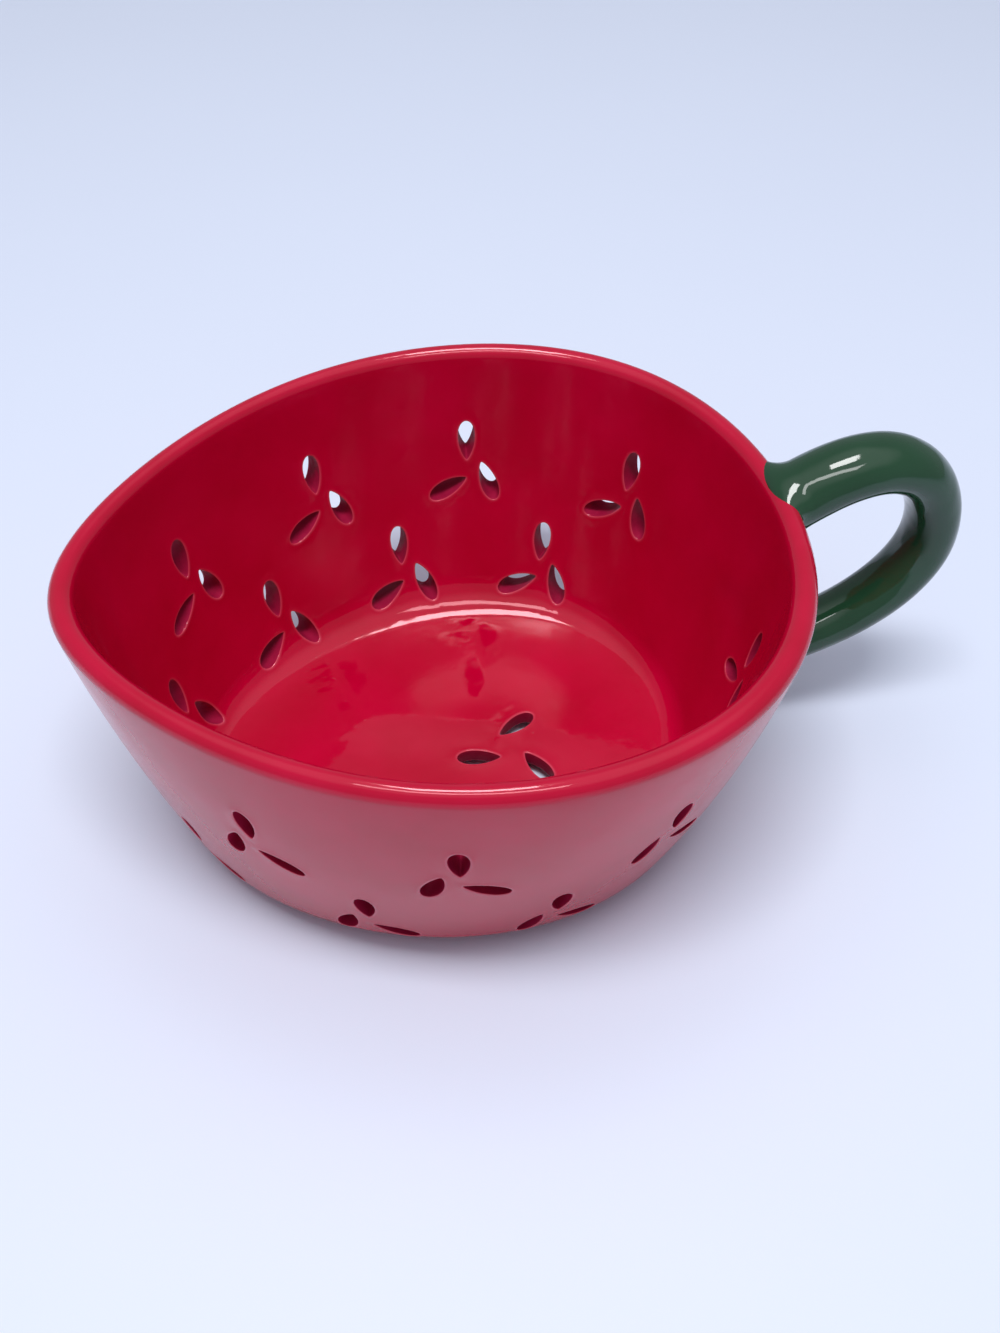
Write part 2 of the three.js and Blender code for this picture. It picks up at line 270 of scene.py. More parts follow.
def surface(angle, run):
    """Point of the skin; the last arc stops short of level by the slope of the floor's edge."""
    left_out = dish_slope(angle) / (90 - (END_INNER_SLOPE + SIDE_INNER_SLOPE) / 2)
    run = run - np.maximum(run - ARC_STARTS[-2], 0) * left_out
    place = section(run, np.sin(angle) ** 2)
    return plan_point(angle, place[..., 0], place[..., 1])


def slopes(angle, run):
    """How a point of the skin moves with its angle and with its distance along the section."""
    by_angle = (surface(angle + SLOPE_STEP, run) - surface(angle - SLOPE_STEP, run)) / (2 * SLOPE_STEP)
    by_run = (surface(angle, run + SLOPE_STEP) - surface(angle, run - SLOPE_STEP)) / (2 * SLOPE_STEP)
    return by_angle, by_run


def unit(vectors):
    return vectors / np.linalg.norm(vectors, axis=-1, keepdims=True)


def normal_at(angle, run):
    by_angle, by_run = slopes(angle, run)
    return unit(np.cross(by_angle, by_run))


def meet_skin(points, direction, angle, run):
    """Angles and distances at which lines through the points meet the skin, from a first guess."""
    reach = np.zeros(len(points))
    for _ in range(MEETING_ROUNDS):
        by_angle, by_run = slopes(angle, run)
        miss = points + reach[:, None] * direction - surface(angle, run)
        matrix = np.stack([by_angle, by_run, np.broadcast_to(-direction, points.shape)], -1)
        step = np.linalg.solve(matrix, miss[..., None])[..., 0]
        angle = angle + step[:, 0]
        run = np.clip(run + step[:, 1], RUN_MARGIN, ARC_STARTS[-1] - RUN_MARGIN)
        reach = reach + step[:, 2]
    return angle, run


# Points, faces and thinness of glaze of a mesh as it is made
class Skin:
    def __init__(self):
        self.points = []
        self.thin = []
        self.faces = []
        self.inside = []
        self.count = 0

    def add(self, points, thin=0.0):
        """Adds points, with how thin the glaze is on them, and returns their numbers."""
        points = np.asarray(points).reshape(-1, 3)
        self.points.append(points)
        self.thin.append(np.broadcast_to(thin, len(points)))
        numbers = np.arange(self.count, self.count + len(points))
        self.count += len(points)
        return numbers

    def band(self, one, other, inside=False):
        """Closes the strip between two rings of as many points, outside or inside a hole."""
        corners = np.stack([one, np.roll(one, -1), np.roll(other, -1), other], -1).tolist()
        if inside:
            self.inside += corners
        else:
            self.faces += corners

    def fan(self, ring, middle):
        """Closes a ring with faces to one point."""
        self.faces += [(a, b, middle) for a, b in zip(ring.tolist(), np.roll(ring, -1).tolist())]


def make_piece(name, skin, *materials):
    """A smooth closed mesh object of the skin; a second material is for the inside of holes."""
    mesh = bpy.data.meshes.new(name)
    points = (np.concatenate(skin.points) + BOWL_MIDDLE) * MILLIMETRE
    points = np.clip(points, np.array(cad_box[0]), np.array(cad_box[1]))
    mesh.from_pydata(points.tolist(), [], skin.faces + skin.inside)
    for material in materials:
        mesh.materials.append(material)
    which = np.repeat([0, 1], [len(skin.faces), len(skin.inside)])
    mesh.polygons.foreach_set("material_index", which)
    work = bmesh.new()
    work.from_mesh(mesh)
    bmesh.ops.recalc_face_normals(work, faces=work.faces)
    work.to_mesh(mesh)
    work.free()
    thin = mesh.attributes.new("thin", "FLOAT", "POINT")
    thin.data.foreach_set("value", np.concatenate(skin.thin))
    mesh.shade_smooth()
    piece = bpy.data.objects.new(name, mesh)
    bpy.context.scene.collection.objects.link(piece)
    return piece


# Seed holes with rounded, beaded edges
def smooth_ring(ring, times):
    for _ in range(times):
        ring = ring / 2 + (np.roll(ring, 1, 0) + np.roll(ring, -1, 0)) / 4
    return ring


def resample(ring, weight, count):
    """Points of a closed ring, evenly spaced by a weight given for each of its steps."""
    total = np.concatenate([[0], np.cumsum(weight)])
    closed = np.concatenate([ring, ring[:1]])
    wanted = np.linspace(0, total[-1], count, endpoint=False)
    return np.stack([np.interp(wanted, total, closed[:, k]) for k in range(2)], -1)


def seed_outline():
    """A seed pointed at -X and round at +X, its point softened and given more of the points."""
    turn = np.linspace(2 * math.pi, 0, OUTLINE_DRAWN, endpoint=False)
    fullness = np.sin(turn) * np.sin(turn / 2) ** SEED_POINT
    half_width = SEED_WIDTH / 2 * fullness / fullness.max()
    ring = np.stack([-SEED_LENGTH / 2 * np.cos(turn), half_width], -1)
    ring = resample(ring, np.linalg.norm(np.roll(ring, -1, 0) - ring, axis=1), OUTLINE_EVEN)
    ring = smooth_ring(ring, TIP_SOFTNESS)
    step = np.roll(ring, -1, 0) - ring
    heading = np.arctan2(step[:, 1], step[:, 0])
    turning = abs((np.roll(heading, -1) - heading + math.pi) % (2 * math.pi) - math.pi)
    return resample(ring, np.linalg.norm(step, axis=1) + TURN_WEIGHT * turning, RIM_POINTS)


OUTLINE = seed_outline()


def placed_outlines(trio):
    for across, up, turn in trio:
        cosine, sine = math.cos(math.radians(turn)), math.sin(math.radians(turn))
        yield OUTLINE @ np.array([[cosine, sine], [-sine, cosine]]) + (across, up)


def edge_rings(here, normal, away, inward, on_sheet):
    """Rings of one hole edge, each with its glaze: the bead on the skin, then the round into the hole."""
    rings = []
    for distance, lift, thin in BEAD_RINGS:
        rings.append((on_sheet(distance) + normal * BEAD_HEIGHT * lift, thin))
    for share in np.linspace(0, 1, ROUND_RINGS):
        out = EDGE_ROUND * (1 - share) ** 2
        into = EDGE_ROUND * share**2
        lift = BEAD_HEIGHT * ROUND_LIFT * (1 - share)
        thin = (1 - share) * (ROUND_THIN + ROUND_THIN_GAIN * share)
        rings.append((here + away * out + inward * into + normal * lift, thin))
    return rings


def away_from_hole(here, normal):
    """Directions in the skin that point away from the hole, square to its edge."""
    along = unit(np.roll(here, -1, 0) - np.roll(here, 1, 0))
    away = unit(np.cross(normal, along))
    return away * np.sign(((here - here.mean(0)) * away).sum())


def wall_edge(angle, run, inward):
    """One edge of a hole in the wall: its loop on the sheet, the room it needs there, and its rings."""
    here = surface(angle, run)
    normal = normal_at(angle, run)
    away = away_from_hole(here, normal)
    pull = np.linalg.pinv(np.stack(slopes(angle, run), -1))

    def moved(distance):
        step = (pull @ (away * distance)[..., None])[..., 0]
        return angle + step[:, 0], run + step[:, 1]

    return {
        "loop": np.stack(moved(BEAD_REACH), -1),
        "room": np.stack(moved(BEAD_REACH + EDGE_ROOM), -1),
        "rings": edge_rings(here, normal, away, inward, lambda distance: surface(*moved(distance))),
    }


def floor_edge(here, inward):
    """One edge of a hole in the flat floor, above or below."""
    normal = np.broadcast_to(-inward, here.shape)
    away = away_from_hole(here, normal)
    return {
        "loop": (here + away * BEAD_REACH)[:, :2],
        "room": (here + away * (BEAD_REACH + EDGE_ROOM))[:, :2],
        "rings": edge_rings(here, normal, away, inward, lambda distance: here + away * distance),
    }


def wall_trio_edges(angle, height, slant):
    """Outer and inner edges of the three holes of a trio, all cut along one line that climbs outward."""
    run = run_at(height, outside=True)
    origin = surface(np.array(angle), np.array(run))
    by_angle, _ = slopes(np.array(angle), np.array(run))
    along = unit(by_angle)
    out = normal_at(np.array(angle), np.array(run))
    rise = np.cross(out, along)
    cut = unit(out + math.tan(math.radians(slant)) * rise)
    inner_run = run_at(max(height, FLOOR_LEVEL + SIDE_FILLET), outside=False)
    for outline in placed_outlines(WALL_TRIO):
        across, up = outline.T
        points = origin + across[:, None] * along + up[:, None] * rise
        guess = angle + across / np.linalg.norm(by_angle)
        outer = meet_skin(points, cut, guess, run + up)
        inner = meet_skin(points, cut, guess, inner_run - up)
        yield wall_edge(*outer, -cut), wall_edge(*inner, cut)


def floor_trio_edges():
    down = np.array([0, 0, -1.0])
    for outline in placed_outlines(FLOOR_TRIO):
        flat = np.column_stack([outline + FLOOR_TRIO_PLACE, np.zeros(RIM_POINTS)])
        yield floor_edge(flat - down * DISH_LEVEL, down), floor_edge(flat - down * FOOT_HEIGHT, -down)


def hole_places():
    upper = [(angle, RIM_HEIGHT - UPPER_ROW_DROP - sink, UPPER_SLANT) for angle, sink in UPPER_TRIOS]
    # Each lower trio sits under the gap between two upper ones
    pairs = zip(UPPER_TRIOS, UPPER_TRIOS[1:])
    lower = [((one[0] + other[0]) / 2, LOWER_ROW_HEIGHT, LOWER_SLANT) for one, other in pairs]
    for degrees, height, slant in upper + lower:
        angle = math.radians(degrees)
        yield angle, height + ROW_LEAN * math.sin(angle), slant


# Sheets between the hole edges
def inside_loop(points, loop):
    """Which flat points lie inside a closed loop."""
    found = np.zeros(len(points), bool)
    near = np.flatnonzero(((points > loop.min(0)) & (points < loop.max(0))).all(1))
    x, y = points[near].T[:, :, None]
    x0, y0 = loop.T
    x1, y1 = np.roll(loop, -1, 0).T
    crosses = (y0 > y) != (y1 > y)
    meets = x0 + (y - y0) / np.where(y1 == y0, 1, y1 - y0) * (x1 - x0)
    found[near] = (crosses & (x < meets)).sum(1) % 2 == 1
    return found


def fill_flat(points, loops):
    """Triangles over flat points that keep the loops' edges and leave out what lies inside a loop."""
    edges = [pair for loop in loops for pair in zip(loop.tolist(), np.roll(loop, -1).tolist())]
    found = delaunay_2d_cdt([Vector(p) for p in points], edges, [], 0, FILL_TOLERANCE, True)
    source = [numbers[0] for numbers in found[3]]
    triangles = np.array([[source[i] for i in face] for face in found[2]])
    owner = np.full(len(points), -1)
    for k, loop in enumerate(loops):
        owner[loop] = k
    owners = owner[triangles]
    inside = (owners[:, 0] >= 0) & (owners == owners[:, :1]).all(1)
    return triangles[~inside]


def add_edges(skin, edges):
    """Adds the rings of each hole edge and returns the numbers of its first and last ring."""
    ends = []
    for edge in edges:
        rings = [skin.add(*ring) for ring in edge["rings"]]
        for one, other in zip(rings, rings[1:]):
            skin.band(one, other)
        ends.append((rings[0], rings[-1]))
    return ends


def section_rows():
    arcs = zip(ARC_STARTS, ARC_STARTS[1:], SECTION_STEPS)
    rows = [np.linspace(start, end, steps, endpoint=False) for start, end, steps in arcs]
    return np.concatenate([*rows, ARC_STARTS[-1:]])


def lip_thinness(run):
    """The glaze is thinnest on the crest of the lip."""
    return LIP_THIN * np.exp(-(((run - CREST_RUN) / LIP_THIN_REACH) ** 2))


def wall_sheet(skin, edges, ends):
    """The skin of the wall round all holes; returns the numbers of its first and last ring."""
    columns = np.linspace(0, 2 * math.pi, PLAN_COLUMNS + 1)
    angle, run = np.meshgrid(columns, section_rows(), indexing="ij")
    flat_scale = np.array([RIM_WIDTH / 2, 1])
    flat = np.stack([angle, run], -1) * flat_scale
    free = np.ones(angle.size, bool)
    for edge in edges:
        free &= ~inside_loop(flat.reshape(-1, 2), edge["room"] * flat_scale)
    free = free.reshape(angle.shape)
    free[-1] = free[0]
    free[:, [0, -1]] = True
    number = np.full(angle.shape, -1)
    used = free[:-1]
    number[:-1][used] = skin.add(surface(angle, run)[:-1][used], lip_thinness(run[:-1][used]))
    number[-1] = number[0]
    points = np.concatenate([flat[free], *[edge["loop"] * flat_scale for edge in edges]])
    numbers = np.concatenate([number[free], *[first for first, _ in ends]])
    starts = free.sum() + RIM_POINTS * np.arange(len(edges))
    loops = [np.arange(start, start + RIM_POINTS) for start in starts]
    skin.faces += numbers[fill_flat(points, loops)].tolist()
    return number[:-1, 0], number[:-1, -1]


def dish(places, outline):
    """Heights of the floor inside its outline, with the slow unevenness of one smoothed by hand."""
    middle = outline[:, :2].mean(0)
    edge = outline[:, :2] - middle
    reach = np.linalg.norm(edge, axis=1)
    fall = outline[:, 2] - DISH_LEVEL
    slope = dish_slope(np.linspace(0, 2 * math.pi, len(outline), endpoint=False))
    power = np.tan(np.radians(slope)) * reach / fall
    x, y = (places - middle).T

    def toward(values):
        """Values of the outline in the direction of each place."""
        round_outline = np.arctan2(edge[:, 1], edge[:, 0])
        return np.interp(np.arctan2(y, x), round_outline, values, period=2 * math.pi)

    share = np.hypot(x, y) / toward(reach)
    along, bend, across, slanted = WAVE_LENGTHS
    wave = np.sin(x / along + np.sin(y / bend)) * np.cos(y / across) + np.sin((x + 2 * y) / slanted)
    return DISH_LEVEL + toward(fall) * share ** toward(power) + FLOOR_WAVE * wave * (1 - share**2)


def floor_sheet(skin, border, edges, ends, dished):
    """A sheet inside a ring of the wall, round the holes in it: dished above, flat below."""
    outline = np.concatenate(skin.points)[border]
    reach = np.arange(-RIM_LENGTH / 2, RIM_LENGTH / 2, FLOOR_GRID)
    grid = np.stack(np.meshgrid(reach, reach), -1).reshape(-1, 2)
    middle = outline[:, :2].mean(0)
    free = inside_loop(grid, middle + (outline[:, :2] - middle) * FLOOR_GRID_SHARE)
    for edge in edges:
        free &= ~inside_loop(grid, edge["room"])
    grid = grid[free]
    height = dish(grid, outline) if dished else np.full(len(grid), outline[0, 2])
    inner = skin.add(np.column_stack([grid, height]))
    points = np.concatenate([outline[:, :2], grid, *[edge["loop"] for edge in edges]])
    numbers = np.concatenate([border, inner, *[first for first, _ in ends]])
    starts = len(border) + len(grid) + RIM_POINTS * np.arange(len(edges))
    loops = [np.arange(len(border)), *[np.arange(start, start + RIM_POINTS) for start in starts]]
    skin.faces += numbers[fill_flat(points, loops)].tolist()


def tunnels(skin, one_ends, other_ends):
    """The walls of the holes, from the end of one edge to the end of the other."""
    points = np.concatenate(skin.points)
    for (_, one), (_, other) in zip(one_ends, other_ends):
        middle = skin.add((points[one] + points[other]) / 2)
        skin.band(one, middle, inside=True)
        skin.band(middle, other, inside=True)


def bowl_skin():
    skin = Skin()
    wall_pairs = [pair for place in hole_places() for pair in wall_trio_edges(*place)]
    floor_pairs = list(floor_trio_edges())
    outer = [pair[0] for pair in wall_pairs]
    inner = [pair[1] for pair in wall_pairs]
    above = [pair[0] for pair in floor_pairs]
    below = [pair[1] for pair in floor_pairs]
    outer_ends = add_edges(skin, outer)
    inner_ends = add_edges(skin, inner)
    above_ends = add_edges(skin, above)
    below_ends = add_edges(skin, below)
    underside, floor_rim = wall_sheet(skin, outer + inner, outer_ends + inner_ends)
    floor_sheet(skin, floor_rim, above, above_ends, dished=True)
    floor_sheet(skin, underside, below, below_ends, dished=False)
    tunnels(skin, outer_ends + above_ends, inner_ends + below_ends)
    return skin


# Foot ring
def foot_skin():
    """The ring under the bowl, with its two lower edges worn round."""
    outside = dip(WALL_CENTRE, WALL_RADIUS - BOTTOM_ROUND, BASE_TILT)[0] - FOOT_SETBACK
    inside = outside - FOOT_WIDTH
    turn = np.linspace(0, math.pi / 2, WEAR_POINTS)
    worn_out = np.stack([np.sin(turn), 1 - np.cos(turn)], -1) * FOOT_CHAMFER
    outer_edge = (outside - FOOT_CHAMFER, 0) + worn_out
    inner_edge = (inside + FOOT_CHAMFER, 0) + worn_out[::-1] * (-1, 1)
    profile = np.concatenate([[(inside, FOOT_HEIGHT)], inner_edge, outer_edge, [(outside, FOOT_HEIGHT)]])
    angle = np.linspace(0, 2 * math.pi, PLAN_COLUMNS, endpoint=False)
    skin = Skin()
    rings = []
    for outward, height in profile:
        rings.append(skin.add(plan_point(angle, outward, np.full(PLAN_COLUMNS, height))))
    for one, other in zip(rings, rings[1:] + rings[:1]):
        skin.band(one, other)
    return skin


# Handle: a plain tapered bar, flared at both ends onto the wall
def ray(degrees):
    return np.array([math.cos(math.radians(degrees)), 0, math.sin(math.radians(degrees))])


def bezier(a, b, c, d):
    t = np.linspace(0, 1, LINE_POINTS)[:, None]
    return (1 - t) ** 3 * a + 3 * (1 - t) ** 2 * t * b + 3 * (1 - t) * t**2 * c + t**3 * d


def on_wall(height):
    return np.array([RIM_LENGTH / 2 - wall_inset(height), 0, height])


def handle_line():
    """Points along the centre line, with the straight root inside each end."""
    upper = on_wall(RIM_HEIGHT - UPPER_ROOT_DROP)
    lower = on_wall(LOWER_ROOT_HEIGHT)
    bend = np.array([RIM_LENGTH / 2 + HANDLE_REACH, 0, RIM_HEIGHT - BEND_DROP])
    above = bend + ray(90) * BEND_ARM_ABOVE
    below = bend - ray(90) * BEND_ARM_BELOW
    first = bezier(upper, upper + ray(UPPER_ANGLE) * UPPER_ARM, above, bend)
    second = bezier(bend, below, lower + ray(LOWER_ANGLE) * LOWER_ARM, lower)
    start = upper - ray(UPPER_ANGLE) * UPPER_THICKNESS
    end = lower - ray(LOWER_ANGLE) * LOWER_THICKNESS
    return np.concatenate([[start], first, second[1:], [end]])


LINE = handle_line()
LINE_STEPS = np.linalg.norm(np.diff(LINE, axis=0), axis=1)
LINE_RUN = np.concatenate([[0], np.cumsum(LINE_STEPS)])
BAR_TURN = np.linspace(0, 2 * math.pi, BAR_SIDES, endpoint=False)


def line_point(run):
    return np.array([np.interp(run, LINE_RUN, LINE[:, k]) for k in range(3)])


def bar_ring(run):
    """An oval across the centre line, and the way that line heads there."""
    heading = unit(line_point(run + HEADING_STEP) - line_point(run - HEADING_STEP))
    side = np.array([0, 1.0, 0])
    under = np.cross(side, heading)
    share = run / LINE_RUN[-1]
    thick = (UPPER_THICKNESS + (LOWER_THICKNESS - UPPER_THICKNESS) * share) / 2
    broad = (UPPER_BREADTH + (LOWER_BREADTH - UPPER_BREADTH) * share) / 2
    oval = np.cos(BAR_TURN)[:, None] * under * thick + np.sin(BAR_TURN)[:, None] * side * broad
    return line_point(run) + oval, heading


def patch_ring(height, patch, inner_way):
    """The edge of the flare on the bowl, and the way that the flare leaves it."""
    across = patch["half_width"] * np.sin(BAR_TURN)
    down = np.cos(BAR_TURN)
    middle = run_at(height, outside=True)
    run = middle + inner_way * down * np.where(down > 0, patch["inner"], patch["outer"])
    angle = np.zeros(BAR_SIDES)
    for _ in range(PATCH_ROUNDS):
        angle = angle + (across - surface(angle, run)[:, 1]) / (RIM_WIDTH / 2)
    normal = normal_at(angle, run)
    by_angle, by_run = slopes(angle, run)
    toward = unit(by_run * (middle - run)[:, None] - by_angle * angle[:, None])
    return surface(angle, run) - normal * PATCH_SINK, unit(toward + normal * PATCH_LIFT)


def flare(patch, leave, ring, heading):
    """Rings of a smooth flare from a patch on the wall to a ring of the plain bar."""
    span = np.linalg.norm(ring - patch, axis=1, keepdims=True)
    rings = []
    for t in np.linspace(0, 1, FLARE_RINGS, endpoint=False):
        place = (2 * t**3 - 3 * t**2 + 1) * patch + (3 * t**2 - 2 * t**3) * ring
        bend = (t**3 - 2 * t**2 + t) * leave * span + (t**3 - t**2) * heading * span
        rings.append(place + bend)
    return rings


def handle_skin():
    upper_start = UPPER_THICKNESS + UPPER_CLEAR
    lower_start = LINE_RUN[-1] - LOWER_THICKNESS - LOWER_CLEAR
    bar = [bar_ring(run) for run in np.linspace(upper_start, lower_start, BAR_RINGS)]
    upper_height = RIM_HEIGHT - UPPER_ROOT_DROP
    upper = flare(*patch_ring(upper_height, UPPER_PATCH, -1), *bar[0])
    lower_patch = patch_ring(LOWER_ROOT_HEIGHT, LOWER_PATCH, 1)
    lower = flare(*lower_patch, bar[-1][0], -bar[-1][1])
    skin = Skin()
    rings = [skin.add(ring) for ring in [*upper, *[ring for ring, _ in bar], *lower[::-1]]]
    for one, other in zip(rings, rings[1:]):
        skin.band(one, other)
    for ring, height in ((rings[0], upper_height), (rings[-1], LOWER_ROOT_HEIGHT)):
        skin.fan(ring, skin.add(on_wall(height) - (WALL / 2, 0, 0))[0])
    return skin


# Colours of the glazes, the clay and the floor
RED_DEEP = (0.47, 0.0, 0.024, 1)
RED_PALE = (0.54, 0.0, 0.034, 1)
RED_THIN = (0.74, 0.14, 0.22, 1)
RED_TINT = (1, 0.6, 0.66, 1)
GREEN_DEEP = (0.012, 0.05, 0.022, 1)
GREEN_PALE = (0.016, 0.062, 0.028, 1)
GREEN_THIN = (0.03, 0.09, 0.045, 1)
WHITE = (1, 1, 1, 1)
# Inside of the holes: a dark red painted as the shade that falls in the deep holes
HOLE_PAINTED_SHADE_DEEP = (0.28, 0.004, 0.035, 1)
HOLE_PAINTED_SHADE_PALE = (0.42, 0.012, 0.06, 1)
CLAY_DARK = (0.62, 0.5, 0.38, 1)
CLAY_PALE = (0.74, 0.64, 0.52, 1)
CLAY_SPECK = (0.3, 0.21, 0.14, 1)
FLOOR_DULL = (0.74, 0.8, 0.96, 1)
FLOOR_PALE = (0.76, 0.82, 0.98, 1)

# Ripples in the glaze, as depth in metres and scale: a slow one for each glaze, then finer ones for both
RED_RIPPLE = 0.0001
GREEN_RIPPLE = 0.0004
RIPPLE_SCALE = 110
FINE_RIPPLE = 0.00003
FINE_SCALE = 260
PORE_DEPTH = 0.000004
PORE_SCALE = 700
RED_DENSITY = 1.58
GREEN_DENSITY = 1.52
# What a steep wall adds to the roughness
RED_DULLNESS = 0.1
GREEN_DULLNESS = 0


class Nodes:
    """A material's node tree with short ways to add to it."""

    def __init__(self, name):
        self.material = bpy.data.materials.new(name)
        self.material.use_nodes = True
        self.tree = self.material.node_tree

    def put(self, value, socket):
        """Links an output to a socket, or sets a plain value on it."""
        if isinstance(value, bpy.types.NodeSocket):
            self.tree.links.new(value, socket)
        else:
            socket.default_value = value

    def fill(self, node, inputs):
        for socket, value in inputs.items():
            self.put(value, node.inputs[socket.replace("_", " ")])
        return node

    def add(self, kind, **inputs):
        return self.fill(self.tree.nodes.new(kind), inputs)

    def shade(self, **inputs):
        """Sets the shader's own sockets."""
        self.fill(self.tree.nodes["Principled BSDF"], inputs)

    def noise(self, scale, detail):
        place = self.add("ShaderNodeTexCoord").outputs["Object"]
        return self.add("ShaderNodeTexNoise", Vector=place, Scale=scale, Detail=detail).outputs["Fac"]

    def attribute(self, name):
        node = self.add("ShaderNodeAttribute")
        node.attribute_name = name
        return node.outputs["Fac"]

    def spread(self, value, within, to):
        """Carries a value from one range to another."""
        node = self.add("ShaderNodeMapRange", Value=value, From_Min=within[0], From_Max=within[1])
        return self.fill(node, {"To_Min": to[0], "To_Max": to[1]}).outputs["Result"]

    def mix(self, share, one, other):
        node = self.add("ShaderNodeMix")
        node.data_type = "RGBA"
        return self.fill(node, {"Factor": share, "A": one, "B": other}).outputs["Result"]

    def math(self, operation, *values):
        node = self.add("ShaderNodeMath")
        node.operation = operation
        for value, socket in zip(values, node.inputs):
            self.put(value, socket)
        return node.outputs["Value"]

    def level(self):
        """How level the surface lies: 0 on an upright wall, 1 on a floor."""
        normal = self.add("ShaderNodeTexCoord").outputs["Normal"]
        return self.math("ABSOLUTE", self.add("ShaderNodeSeparateXYZ", Vector=normal).outputs["Z"])

    def bump(self, height, distance, strength=1.0, **under):
        node = self.add("ShaderNodeBump", Strength=strength, Distance=distance, Height=height, **under)
        return node.outputs["Normal"]


def glaze(name, deep, pale, thin, tint, ripple, density, dullness):
    """Gloss glaze: patchy in colour, lighter where thin on edges, rippled, and duller on steep walls."""
    nodes = Nodes(name)
    cloud = nodes.spread(nodes.noise(scale=45, detail=3), within=(0.35, 0.7), to=(0, 1))
    broken = nodes.spread(nodes.noise(scale=220, detail=3), within=(0.3, 0.75), to=(0.55, 1))
    share = nodes.math("MULTIPLY", nodes.attribute("thin"), broken)
    colour = nodes.mix(share, nodes.mix(cloud, deep, pale), thin)
    gloss = nodes.spread(nodes.noise(scale=130, detail=4), within=(0.3, 0.7), to=(0.035, 0.075))
    duller = nodes.spread(nodes.level(), within=(0.4, 0.7), to=(dullness, 0))
    roughness = nodes.math("ADD", gloss, duller)
    normal = nodes.bump(nodes.noise(RIPPLE_SCALE, detail=1), ripple)
    normal = nodes.bump(nodes.noise(FINE_SCALE, detail=1), FINE_RIPPLE, Normal=normal)
    normal = nodes.bump(nodes.noise(PORE_SCALE, detail=2), PORE_DEPTH, Normal=normal)
    nodes.shade(Base_Color=colour, Roughness=roughness, IOR=density, Specular_Tint=tint, Normal=normal)
    return nodes.material


def painted_shade_hole_glaze():
    """Glaze inside the holes, its colour painted dark as the shade of the deep holes: uneven and much
    less glossy.
    """
    nodes = Nodes("painted_shade_hole_glaze")
    colour = nodes.mix(nodes.noise(scale=350, detail=3), HOLE_PAINTED_SHADE_DEEP, HOLE_PAINTED_SHADE_PALE)
    gloss = nodes.spread(nodes.noise(scale=300, detail=3), within=(0.3, 0.7), to=(0.45, 0.65))
    drips = nodes.bump(nodes.noise(scale=320, detail=2), distance=0.0002)
    nodes.shade(Base_Color=colour, Roughness=gloss, Specular_IOR_Level=0.05, Normal=drips)
    return nodes.material


def bare_clay():
    """Unglazed clay: chalky, speckled and a little gritty."""
    nodes = Nodes("bare_clay")
    body = nodes.mix(nodes.noise(scale=90, detail=4), CLAY_DARK, CLAY_PALE)
    speck = nodes.spread(nodes.noise(scale=1400, detail=2), within=(0.66, 0.72), to=(0, 0.6))
    gloss = nodes.spread(nodes.noise(scale=400, detail=3), within=(0.3, 0.7), to=(0.75, 0.95))
    grit = nodes.bump(nodes.noise(scale=1800, detail=3), distance=0.0002, strength=0.6)
    nodes.shade(Base_Color=nodes.mix(speck, body, CLAY_SPECK), Roughness=gloss, Normal=grit)
    return nodes.material


def floor_paint():
    """Pale satin floor with a faint unevenness of colour."""
    nodes = Nodes("floor_paint")
    colour = nodes.mix(nodes.noise(scale=6, detail=3), FLOOR_DULL, FLOOR_PALE)
    nodes.shade(Base_Color=colour, Roughness=0.55)
    return nodes.material


# Floor, light and camera, in metres and watts
FLOOR_REACH = 3
FLOOR_DROP = 0.0001
LAMP_AIM = (0, 0, 0.04)
SOFTBOX_PLACE = (-0.1, -0.26, 1.3)
SOFTBOX_SIZE = (0.7, 0.2)
SOFTBOX_POWER = 3.2
FILL_POWER = 7.4
BACK_LIGHT_PLACE = (0.02, 0.28, 1.3)
BACK_LIGHT_SIZE = (0.32, 0.3)
BACK_LIGHT_POWER = 5
# The room is paler overhead: its two shades, and the cosines of the angles between which they blend
ROOM_OVERHEAD = (0.85, 0.87, 0.92, 1)
ROOM_ROUND = (0.3, 0.32, 0.36, 1)
ROOM_BLEND = (0.7, 0.92)
CAMERA_PLACE = (-0.05752, -0.21465, 0.26264)
CAMERA_HEADING = (0.1549, 0.6735, -0.7229)
CAMERA_LENS = 35.11
CAMERA_SENSOR = 36
CAMERA_CLIP_START = 0.01


def add_floor():
    mesh = bpy.data.meshes.new("floor")
    near, far = -FLOOR_REACH, FLOOR_REACH
    mesh.from_pydata([(near, near, 0), (far, near, 0), (far, far, 0), (near, far, 0)], [], [(0, 1, 2, 3)])
    mesh.materials.append(floor_paint())
    floor = bpy.data.objects.new("floor", mesh)
    floor.location.z = -FLOOR_DROP
    bpy.context.scene.collection.objects.link(floor)


def facing(direction):
    """Turn of a lamp or camera that looks in a direction."""
    return Vector(direction).to_track_quat("-Z", "Y").to_euler()


def add_lamp(name, place, size, power):
    data = bpy.data.lights.new(name, "AREA")
    data.shape = "RECTANGLE"
    data.size, data.size_y = size
    data.energy = power
    lamp = bpy.data.objects.new(name, data)
    lamp.location = place
    lamp.rotation_euler = facing(Vector(LAMP_AIM) - Vector(place))
    bpy.context.scene.collection.objects.link(lamp)
    return lamp


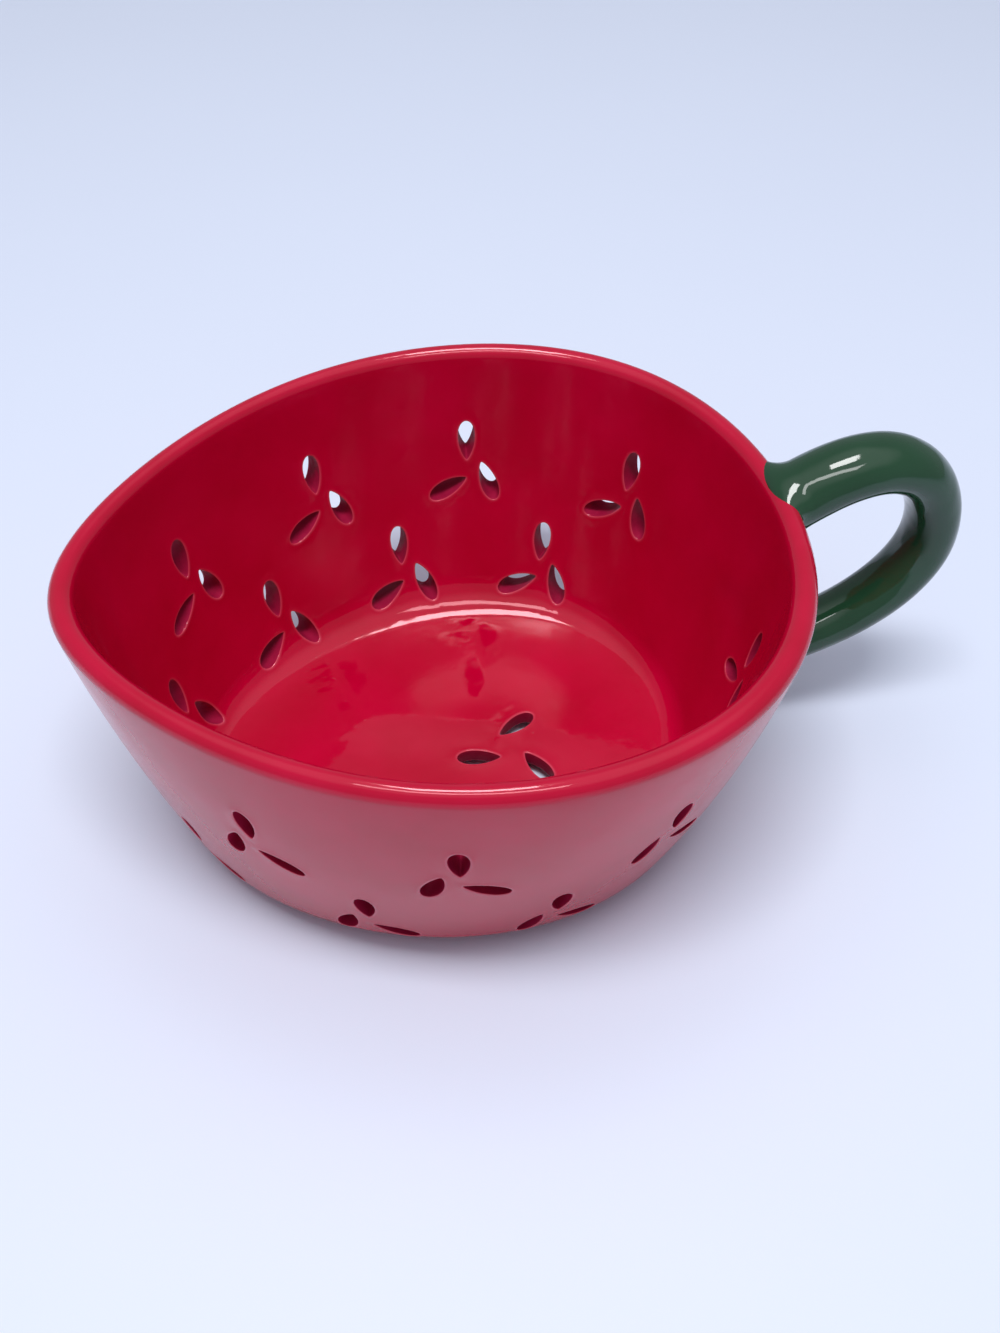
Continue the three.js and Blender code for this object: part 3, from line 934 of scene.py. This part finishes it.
def add_world():
    """Soft surroundings of one shade overhead and another all round."""
    world = bpy.data.worlds.new("room")
    world.use_nodes = True
    tree = world.node_tree
    height = tree.nodes.new("ShaderNodeSeparateXYZ")
    tree.links.new(tree.nodes.new("ShaderNodeTexCoord").outputs["Generated"], height.inputs["Vector"])
    share = tree.nodes.new("ShaderNodeMapRange")
    share.interpolation_type = "SMOOTHSTEP"
    share.inputs["From Min"].default_value = ROOM_BLEND[0]
    share.inputs["From Max"].default_value = ROOM_BLEND[1]
    tree.links.new(height.outputs["Z"], share.inputs["Value"])
    shade = tree.nodes.new("ShaderNodeMix")
    shade.data_type = "RGBA"
    shade.inputs["A"].default_value = ROOM_ROUND
    shade.inputs["B"].default_value = ROOM_OVERHEAD
    tree.links.new(share.outputs["Result"], shade.inputs["Factor"])
    tree.links.new(shade.outputs["Result"], tree.nodes["Background"].inputs["Color"])
    bpy.context.scene.world = world


def add_camera():
    """At the photograph's place: its long side spans the sensor's width."""
    data = bpy.data.cameras.new("camera")
    data.lens = CAMERA_LENS
    data.sensor_width = CAMERA_SENSOR
    data.clip_start = CAMERA_CLIP_START
    camera = bpy.data.objects.new("camera", data)
    camera.location = CAMERA_PLACE
    camera.rotation_euler = facing(CAMERA_HEADING)
    bpy.context.scene.collection.objects.link(camera)
    bpy.context.scene.camera = camera


# The pieces, each riding on the one body
red_colours = (RED_DEEP, RED_PALE, RED_THIN, RED_TINT)
red_glaze = glaze("red_glaze", *red_colours, RED_RIPPLE, RED_DENSITY, RED_DULLNESS)
green_colours = (GREEN_DEEP, GREEN_PALE, GREEN_THIN, WHITE)
green_glaze = glaze("green_glaze", *green_colours, GREEN_RIPPLE, GREEN_DENSITY, GREEN_DULLNESS)
bowl = make_piece("glazed_bowl", bowl_skin(), red_glaze, painted_shade_hole_glaze())
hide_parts("bowl_body")
handle = make_piece("glazed_handle", handle_skin(), green_glaze)
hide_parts("handle", "upper_slip_pad", "lower_slip_pad")
foot = make_piece("clay_foot", foot_skin(), bare_clay())
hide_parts("foot_ring")
for piece in (bowl, handle, foot):
    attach(piece, "root")

# The stage: a back light for reflections only, the softbox, and its fill that reflections leave out
add_floor()
add_world()
back_light = add_lamp("back light", BACK_LIGHT_PLACE, BACK_LIGHT_SIZE, BACK_LIGHT_POWER)
back_light.visible_diffuse = False
add_lamp("softbox", SOFTBOX_PLACE, SOFTBOX_SIZE, SOFTBOX_POWER)
fill = add_lamp("fill", SOFTBOX_PLACE, SOFTBOX_SIZE, FILL_POWER)
fill.visible_glossy = False
add_camera()
bpy.context.scene.view_settings.view_transform = "Standard"
